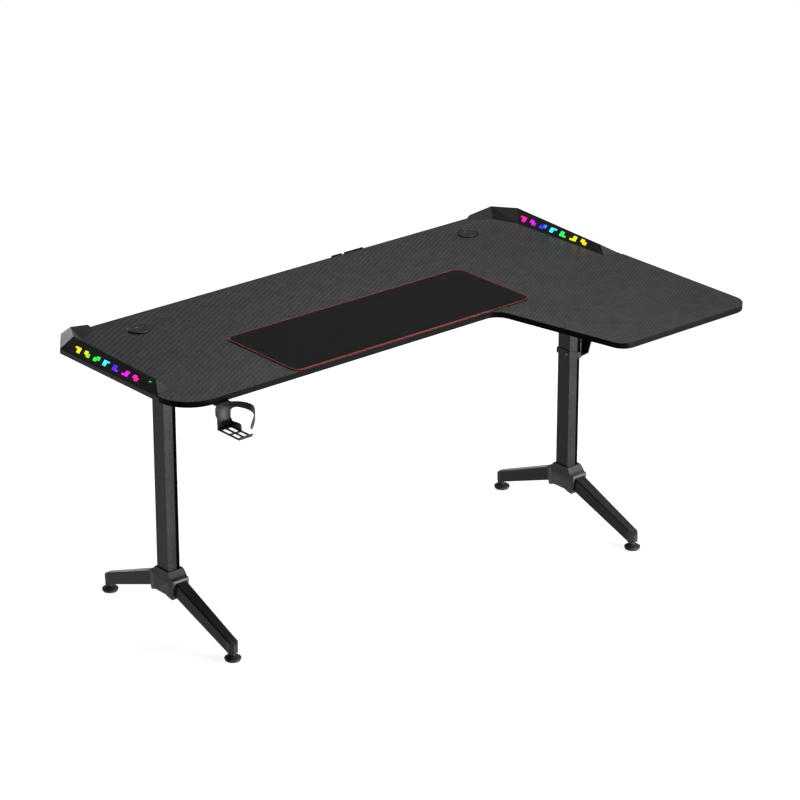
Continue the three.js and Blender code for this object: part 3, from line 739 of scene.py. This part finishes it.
# Cable grommets.
grommet = {
    "segments": 72,
    "boreIn": 6.5 * mm,
    "sleeveIn": 2.5 * mm,
    "seatDown": 2.5 * mm,
    "capRound": 0.5 * mm,
    "flapGap": 0.6 * mm,
    "flapHalf": 8.75 * mm,
    "flapAt": 15 * mm,
    "flapSteps": 14,
    # depth under the top of the cap, then how far the outline is drawn in
    "flapEdge": [
        (2.4 * mm, 0.3 * mm),
        (2.1 * mm, 0.0),
        (0.55 * mm, 0.0),
        (0.25 * mm, 0.35 * mm),
    ],
}


def turnedProfile(profile, place, segments):
    return [[Vector(place) + p for p in circle(radius, z, segments)] for radius, z in profile]


def makeGrommets():
    for side in ("left", "right"):
        low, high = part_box("grommet_ring_" + side)
        centre = (low + high) / 2
        flange = (high.x - low.x) / 2
        bore = flange - grommet["boreIn"]
        sleeve = flange - grommet["sleeveIn"]
        seat = high.z - grommet["seatDown"]
        lip = high.z
        under = low.z
        profile = [
            (bore, under + 0.6 * mm),
            (bore + 0.6 * mm, under),
            (sleeve - 0.6 * mm, under),
            (sleeve, under + 0.6 * mm),
            (sleeve, lip - 4 * mm),
            (flange - 0.3 * mm, lip - 4 * mm),
            (flange, lip - 3.6 * mm),
            (flange, lip - 1.6 * mm),
            (flange - 0.35 * mm, lip - 0.7 * mm),
            (flange - 1.1 * mm, lip - 0.15 * mm),
            (flange - 2.0 * mm, lip),
            (flange - 3.2 * mm, lip - 0.1 * mm),
            (flange - 3.8 * mm, lip - 0.5 * mm),
            (flange - 4.0 * mm, lip - 1.0 * mm),
            (flange - 4.0 * mm, seat),
            (bore + 0.3 * mm, seat),
            (bore, seat - 0.3 * mm),
        ]
        heap = Heap()
        heap.ringLoft(turnedProfile(profile, (centre.x, centre.y, 0), grommet["segments"]))
        pieceOf(
            "grommet_ring_moulded_" + side,
            heap,
            finish["grey_plastic"],
            replaces=["grommet_ring_" + side],
            crease=50,
        )
        dress("grommet_cap_" + side, finish["grey_plastic"])
        soften("grommet_cap_" + side, grommet["capRound"], 2, 40)
        makeCableFlap(side)


def makeCableFlap(side):
    # a soft tongue that closes the notch in the cap
    low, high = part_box("grommet_cap_" + side)
    centre = (low + high) / 2
    rim = (high.x - low.x) / 2 - grommet["flapGap"]
    half = grommet["flapHalf"]
    outline = []
    for k in range(grommet["flapSteps"] + 1):
        angle = pi + pi * k / grommet["flapSteps"]
        outline.append((half * cos(angle), grommet["flapAt"] + half * sin(angle)))
    reach = asin(half / rim)
    for k in range(grommet["flapSteps"] + 1):
        angle = reach - 2 * reach * k / grommet["flapSteps"]
        outline.append((rim * sin(angle), rim * cos(angle)))
    rings = []
    for depth, inset in grommet["flapEdge"]:
        ring = []
        for x, y in outline:
            toMiddle = Vector((-x, grommet["flapAt"] - y, 0)).normalized() * inset
            ring.append(Vector((centre.x + x, centre.y + y, high.z - depth)) + toMiddle)
        rings.append(ring)
    heap = Heap()
    heap.loft(rings)
    body = "grommet_cap_" + side
    plastic = finish["grey_plastic"]
    pieceOf("cable_flap_" + side, heap, plastic, body, crease=50)


makeGrommets()
print("grommets made")


# Light modules.
# The same lines as the cover's own: distances in from the side edge and the back edge.
coverLow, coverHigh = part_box("light_housing_left")
backEdge = coverHigh.y
sideEdge = coverLow.x
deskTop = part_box("desktop")[1].z
module = {
    "skirt": [0, -3 * mm],
    "outerTop": [30 * mm, 27 * mm],
    "innerFoot": [53 * mm, 0],
    "innerTop": [31 * mm, 26 * mm],
    "crestRear": [28 * mm, -95 * mm, 32 * mm],
    "crestFront": [34 * mm, -444 * mm, 20 * mm],
    "footRear": [57 * mm, -128 * mm],
    "footFront": [50 * mm, -476 * mm],
    "underside": -16 * mm,
    "skirtRear": -72 * mm,
    "skirtFront": -500 * mm,
    "cell": 5 * mm,
    "pitch": 41.5 * mm,
    "firstMark": -124 * mm,
    "marksLong": 274 * mm,
    "start": 0.26,
    "sunk": 0.5 * mm,
    "deep": 4.2 * mm,
    "slack": 0.12 * mm,
    "cornerScrew": [-40 * mm, 30 * mm, 40 * mm],
    "cornerAim": [22 * mm, -62 * mm, 14 * mm],
    "screwRadius": 2.6 * mm,
    "lensApart": 2.6 * mm,
    "lensRadius": 1.9 * mm,
    "coverRound": 0.7 * mm,
    "diffuserRound": 0.3 * mm,
    "keyRound": 0.35 * mm,
    "windowRound": 0.3 * mm,
    "lampBoardRound": 0.15 * mm,
}
# Each block mark is three rows of five cells; x lets the light through.
marks = [
    ["xxxxx", "..xxx", "..xxx"],
    ["xxx..", "xxxxx", "..xxx"],
    ["..xxx", "xxxxx", "xxx.."],
    ["xxxxx", "xxx..", "xxx.."],
    ["xxx..", "xxx..", "xxxxx"],
    ["..xxx", "..xxx", "xxxxx"],
    ["xxx..", "xxxxx", "..xxx"],
]


def inModule(side, x, y, z):
    # module lines to frame metres; right is the mirror of left
    frameX = sideEdge + x
    return Vector((frameX if side == "left" else -frameX, backEdge + y, deskTop + z))


def coverSkin(side):
    # the closed outer form of the long arm, to find its surface from
    m = module
    corners = [
        (m["skirt"][0], m["skirtRear"], m["skirt"][1]),
        (m["skirt"][0], m["skirtFront"], m["skirt"][1]),
        (m["skirt"][0], m["skirtRear"], m["underside"]),
        (m["skirt"][0], m["skirtFront"], m["underside"]),
        tuple(m["crestRear"]),
        tuple(m["crestFront"]),
        (*m["footRear"], 0),
        (*m["footFront"], 0),
        (*m["footRear"], m["underside"]),
        (*m["footFront"], m["underside"]),
    ]
    form = bmesh.new()
    for corner in corners:
        form.verts.new(inModule(side, *corner))
    bmesh.ops.convex_hull(form, input=form.verts)
    skin = BVHTree.FromBMesh(form)
    form.free()
    return skin


def markRuns():
    # the open cells of each row, as spans along the module and up its face
    for number, rows in enumerate(marks):
        for r, row in enumerate(rows):
            k = 0
            while k < len(row):
                if row[k] == "x":
                    end = k
                    while end < len(row) and row[end] == "x":
                        end += 1
                    rear = module["firstMark"] - number * module["pitch"] - k * module["cell"]
                    front = module["firstMark"] - number * module["pitch"] - end * module["cell"]
                    low = (len(rows) - r - 1) * module["cell"]
                    yield rear, front, low, low + module["cell"]
                    k = end
                else:
                    k += 1


def makeInserts(side, face, low, high):
    lowX, lowZ = low
    highX, highZ = high
    slope = Vector((highX - lowX, 0, highZ - lowZ)).normalized()
    out = Vector((-slope.z, 0, slope.x))
    start = [a + module["start"] * (b - a) for a, b in ((lowX, highX), (lowZ, highZ))]
    if out.x * (1 if face == "inner" else -1) < 0:
        out = -out
    skin = coverSkin(side)
    origin = inModule(side, 0, 0, 0)
    outward = (inModule(side, out.x, 0, out.z) - origin).normalized()
    heap = Heap()
    for rear, front, tLow, tHigh in markRuns():
        slack = module["slack"]
        spots = [
            (rear - slack, tLow + slack),
            (front + slack, tLow + slack),
            (front + slack, tHigh - slack),
            (rear - slack, tHigh - slack),
        ]
        top = []
        for y, t in spots:
            onFace = inModule(side, start[0] + slope.x * t, y, start[1] + slope.z * t)
            hit = skin.ray_cast(onFace + outward * 20 * mm, -outward)[0]
            top.append(hit - outward * module["sunk"])
        centre = sum(top, Vector()) / 4
        crown = [p + (centre - p).normalized() * 0.35 * mm + outward * 0.18 * mm for p in top]
        root = [p - outward * module["deep"] for p in top]
        heap.loft([root, top, crown])
    name = "light_inserts_" + face + "_" + side
    pieceOf(name, heap, finish["lit_" + side], crease=20)


def makeModules():
    for side in ("left", "right"):
        firstMark = backEdge + module["firstMark"]
        finish["lit_" + side] = litAcrylic(side, firstMark, firstMark - module["marksLong"])
        makeInserts(side, "outer", module["skirt"], module["outerTop"])
        makeInserts(side, "inner", module["innerFoot"], module["innerTop"])
        for face in ("outer", "inner"):
            dress("light_diffuser_" + face + "_" + side, finish["lit_" + side])
            soften("light_diffuser_" + face + "_" + side, module["diffuserRound"], 2)
        dress("light_housing_" + side, finish["cover_plastic"])
        soften("light_housing_" + side, module["coverRound"], 2, 12)
        dress("touch_button_" + side, finish["black_plastic"])
        soften("touch_button_" + side, module["keyRound"], 2, 40)
        dress("sensor_window_" + side, finish["black_plastic"])
        soften("sensor_window_" + side, module["windowRound"], 2, 40)
        dress("led_board_" + side, finish["green_board"])
        soften("led_board_" + side, module["lampBoardRound"], 1)


def nodeSurface(name):
    node = nodes[name]
    spots = [node.matrix_world @ v.co for v in node.data.vertices]
    return BVHTree.FromPolygons(spots, [tuple(p.vertices) for p in node.data.polygons])


def seated(surface, start, direction):
    # where a line meets a surface, with Z along the face's own normal
    spot, normal = surface.ray_cast(start, direction)[:2]
    if normal.dot(direction) > 0:
        normal = -normal
    return aimed(spot, normal)


def makeKeyLenses():
    # two lit dots on each round key
    for side in ("left", "right"):
        name = "touch_button_" + side
        surface = nodeSurface(name)
        aim = inModule(side, 1, 0, -0.25) - inModule(side, 0, 0, 0)
        centre = middle(name)
        heap = Heap()
        for along in (-module["lensApart"], module["lensApart"]):
            start = centre - aim * 40 * mm + Vector((0, along, 0))
            at = seated(surface, start, aim.normalized())
            wide = module["lensRadius"]
            dot = [
                circle(wide, -0.3 * mm, 24),
                circle(wide, 0.1 * mm, 24),
                circle(wide * 0.85, 0.22 * mm, 24),
                circle(wide * 0.5, 0.3 * mm, 24),
            ]
            heap.loft(moved(dot, at))
        green = finish["green_key"]
        pieceOf("key_lenses_" + side, heap, green, name, crease=50)


def makeCoverScrews():
    # one screw in the rear corner facet of each module
    for side in ("left", "right"):
        surface = nodeSurface("light_housing_" + side)
        start = inModule(side, *module["cornerScrew"])
        toward = inModule(side, *module["cornerAim"]) - start
        at = seated(surface, start, toward.normalized())
        wide = module["screwRadius"]
        around = 28
        rings = [
            circle(wide * 1.22, -0.3 * mm, around),
            circle(wide * 1.22, 0.12 * mm, around),
            circle(wide * 1.05, 0.2 * mm, around),
            circle(wide, 0.1 * mm, around),
            circle(wide * 0.9, 0.05 * mm, around),
            starRing(wide * 0.3, wide * 0.62, 0.05 * mm, 6, around),
            starRing(wide * 0.22, wide * 0.5, -0.2 * mm, 6, around),
        ]
        heap = Heap()
        heap.loft(moved(rings, at))
        pieceOf("cover_screw_" + side, heap, finish["dark_zinc"])


makeModules()
makeKeyLenses()
makeCoverScrews()
print("light modules made")


# Legs.
leg = {
    "columnRound": 1.2 * mm,
    "hubRound": 1.1 * mm,
    "armRound": 1.4 * mm,
    "capRound": 2.0 * mm,
    "bracketRound": 0.5 * mm,
    "beamRound": 0.6 * mm,
}


def dressLegs():
    for side in ("left", "right"):
        dress("leg_column_" + side, finish["column_steel"])
        soften("leg_column_" + side, leg["columnRound"], 3)
        dress("leg_hub_" + side, finish["hub_casting"])
        soften("leg_hub_" + side, leg["hubRound"], 2, 16)
        dress("top_bracket_" + side, finish["black_steel"])
        soften("top_bracket_" + side, leg["bracketRound"], 2)
        for end in ("front", "rear"):
            tag = end + "_" + side
            dress("foot_arm_" + tag, finish["black_steel"])
            soften("foot_arm_" + tag, leg["armRound"], 3, 20)
            dress("foot_cap_" + tag, finish["black_plastic"])
            soften("foot_cap_" + tag, leg["capRound"], 3, 18)
    for end in ("front", "rear"):
        dress("cross_beam_" + end, finish["black_steel"])
        soften("cross_beam_" + end, leg["beamRound"], 2)


dressLegs()
print("legs dressed")


# Levelling feet.
foot = {
    "segments": 56,
    "threadPitch": 1.25 * mm,
    "studRadius": 3.95 * mm,
    "nutFlats": 6.5 * mm,
}


def makeFeet():
    for end in ("front", "rear"):
        for side in ("left", "right"):
            body = "levelling_foot_" + end + "_" + side
            low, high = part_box(body)
            centre = (low + high) / 2
            wide = (high.x - low.x) / 2
            place = (centre.x, centre.y, low.z)
            pad = [
                (wide - 4.0 * mm, 0.0),
                (wide - 3.0 * mm, 0.0),
                (wide - 2.2 * mm, 0.4 * mm),
                (wide - 1.2 * mm, 3.0 * mm),
                (wide - 0.3 * mm, 4.6 * mm),
                (wide, 5.6 * mm),
                (wide, 7.2 * mm),
                (wide - 0.5 * mm, 8.2 * mm),
                (wide - 2.0 * mm, 9.4 * mm),
                (wide - 5.6 * mm, 11.4 * mm),
                (wide - 8.5 * mm, 12.8 * mm),
                (11.0 * mm, 14.0 * mm),
                (9.6 * mm, 15.2 * mm),
                (8.8 * mm, 15.8 * mm),
                (7.4 * mm, 16.0 * mm),
            ]
            heap = Heap()
            heap.loft(turnedProfile(pad, place, foot["segments"]))
            tag = end + "_" + side
            pieceOf("foot_pad_" + tag, heap, finish["foot_rubber"], body, [body], 50)
            stud = Heap()
            at = Matrix.Translation(Vector(place))
            flats = foot["nutFlats"]
            nut = [
                hexRing(flats, 11.3 * mm, 36, flats * 1.04),
                hexRing(flats, 11.9 * mm, 36),
                hexRing(flats, 16.9 * mm, 36),
                hexRing(flats, 17.6 * mm, 36, flats * 1.04),
            ]
            stud.loft(moved(nut, at))
            studTop = high.z - low.z
            shank = threadRings(
                foot["studRadius"], 17.6 * mm, studTop - 0.5 * mm, foot["threadPitch"], 24
            )
            shank.append(circle(3.1 * mm, studTop, 24))
            stud.loft(moved(shank, at))
            pieceOf("foot_stud_" + tag, stud, finish["dark_zinc"], body, crease=40)


makeFeet()
print("levelling feet made")


# Bolts and screws.
bolt = {
    "headHigh": 5 * mm,
    "flats": 5.55 * mm,
    "shank": 3.95 * mm,
    "pitch": 1.25 * mm,
}
screw = {
    "cupHead": 4.6 * mm,
    "cupHeadHigh": 2.6 * mm,
    "cupPitch": 1.0 * mm,
    "clampHead": 4.5 * mm,
    "clampHeadHigh": 3 * mm,
    "clampPitch": 0.8 * mm,
    "shank": 2.45 * mm,
    "bracketHead": 4.6 * mm,
    "bracketHeadHigh": 2.4 * mm,
    "lidHead": 2.6 * mm,
    "lidHeadHigh": 1.3 * mm,
}


def boltRings(head, length, flats, shank, pitch):
    # the head's underside is at z 0, the shank rises from it
    rings = [
        hexRing(flats, -head, 36, flats * 0.93),
        hexRing(flats, -head + 0.25 * mm, 36, flats * 1.0),
        hexRing(flats, -head + 0.9 * mm, 36),
        hexRing(flats, -1.0 * mm, 36),
    ]
    washer = [circle(flats * 1.06, -0.9 * mm, 36), circle(flats * 1.06, 0, 36)]
    thread = threadRings(shank, 0.0, length - 0.8 * mm, pitch, 24)
    thread.append(circle(shank * 0.75, length, 24))
    return rings, washer, thread


def boltPiece(name, heap, metal, replaces=()):
    pieceOf(name, heap, metal, replaces=replaces, crease=40)


def makeBolts():
    tags = [end + "_" + side for end in ("front", "rear") for side in ("left", "right")]
    for name in [kind + tag for kind in ("arm_bolt_", "column_bolt_") for tag in tags]:
        low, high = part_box(name)
        centre = (low + high) / 2
        head = bolt["headHigh"]
        length = high.z - low.z - head
        heap = Heap()
        at = Matrix.Translation(Vector((centre.x, centre.y, low.z + head)))
        for rings in boltRings(head, length, bolt["flats"], bolt["shank"], bolt["pitch"]):
            heap.loft(moved(rings, at))
        boltPiece(name + "_threaded", heap, finish["zinc"], [name])


def panHead(radius, high, segments=32):
    # a domed head with a cross recess, its seat at z 0 and the head below it
    outline = [
        circle(radius * 0.97, 0.0, segments),
        circle(radius, -0.35 * high, segments),
        circle(radius * 0.93, -0.7 * high, segments),
        circle(radius * 0.76, -0.93 * high, segments),
        circle(radius * 0.62, -1.0 * high, segments),
    ]
    recess = [
        starRing(radius * 0.2, radius * 0.52, -1.0 * high, 4, segments),
        starRing(radius * 0.14, radius * 0.36, -0.45 * high, 4, segments),
    ]
    return outline + recess


def makeScrews():
    for tag in ("a", "b"):
        name = "cup_screw_" + tag
        low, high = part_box(name)
        centre = (low + high) / 2
        head = screw["cupHeadHigh"]
        length = high.z - low.z - head
        at = Matrix.Translation(Vector((centre.x, centre.y, low.z + head)))
        heap = Heap()
        heap.loft(moved(panHead(screw["cupHead"], head), at))
        shank = threadRings(screw["shank"], 0.1 * mm, length, screw["cupPitch"], 20)
        heap.loft(moved(shank, at))
        boltPiece(name + "_pan_head", heap, finish["zinc"], [name])

    low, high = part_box("clamp_screw")
    centre = (low + high) / 2
    head = screw["clampHeadHigh"]
    length = high.x - low.x - head
    at = aimed((low.x + head, centre.y, centre.z), (1, 0, 0))
    heap = Heap()
    heap.loft(moved(panHead(screw["clampHead"], head), at))
    shank = threadRings(screw["shank"], 0.1 * mm, length, screw["clampPitch"], 20)
    heap.loft(moved(shank, at))
    boltPiece("clamp_screw_pan_head", heap, finish["dark_zinc"], ["clamp_screw"])


def makeBracketScrews():
    # wood screws that hold the top brackets up against the board
    for side in ("left", "right"):
        low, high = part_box("top_bracket_" + side)
        plate = high.z - 3 * mm
        centre = (low + high) / 2
        heap = Heap()
        rows = [low.y + 25 * mm, centre.y - 75 * mm, centre.y + 75 * mm, high.y - 25 * mm]
        for y in rows:
            for x in (-18 * mm, 18 * mm):
                at = Matrix.Translation(Vector((centre.x + x, y, plate - 0.05 * mm)))
                heap.loft(moved(panHead(screw["bracketHead"], screw["bracketHeadHigh"]), at))
        boltPiece("bracket_screws_" + side, heap, finish["zinc"])


makeBolts()
makeScrews()
makeBracketScrews()
print("bolts and screws made")


# Cup holder, hook and tray.
fittings = {
    # node: its finish and how far its edges are rounded
    "cup_holder": ("black_plastic", 0.5 * mm),
    "headphone_hook": ("black_plastic", 0.7 * mm),
    "hook_clamp": ("black_steel", 0.5 * mm),
    "cable_tray": ("black_steel", 0.5 * mm),
}


def dressFittings():
    for name, (look, edge) in fittings.items():
        dress(name, finish[look])
        soften(name, edge, 2, 30)


dressFittings()
print("fittings dressed")


# Light controller.
controller = {
    "boxRound": 0.6 * mm,
    "boardRound": 0.15 * mm,
    "inletRound": 0.25 * mm,
    "screwInset": 6 * mm,
}


def dressController():
    for name in ("control_box_base", "control_box_lid"):
        dress(name, finish["black_plastic"])
        soften(name, controller["boxRound"], 2, 30)
    dress("control_board", finish["green_board"])
    soften("control_board", controller["boardRound"], 1)
    dress("control_inlet", finish["zinc"])
    soften("control_inlet", controller["inletRound"], 2, 40)


def makeLidScrews():
    low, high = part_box("control_box_lid")
    heap = Heap()
    inset = controller["screwInset"]
    for x in (low.x + inset, high.x - inset):
        for y in (low.y + inset, high.y - inset):
            at = Matrix.Translation(Vector((x, y, low.z)))
            heap.loft(moved(panHead(screw["lidHead"], screw["lidHeadHigh"], 24), at))
    boltPiece("lid_screws", heap, finish["dark_zinc"])


dressController()
makeLidScrews()
print("controller dressed")
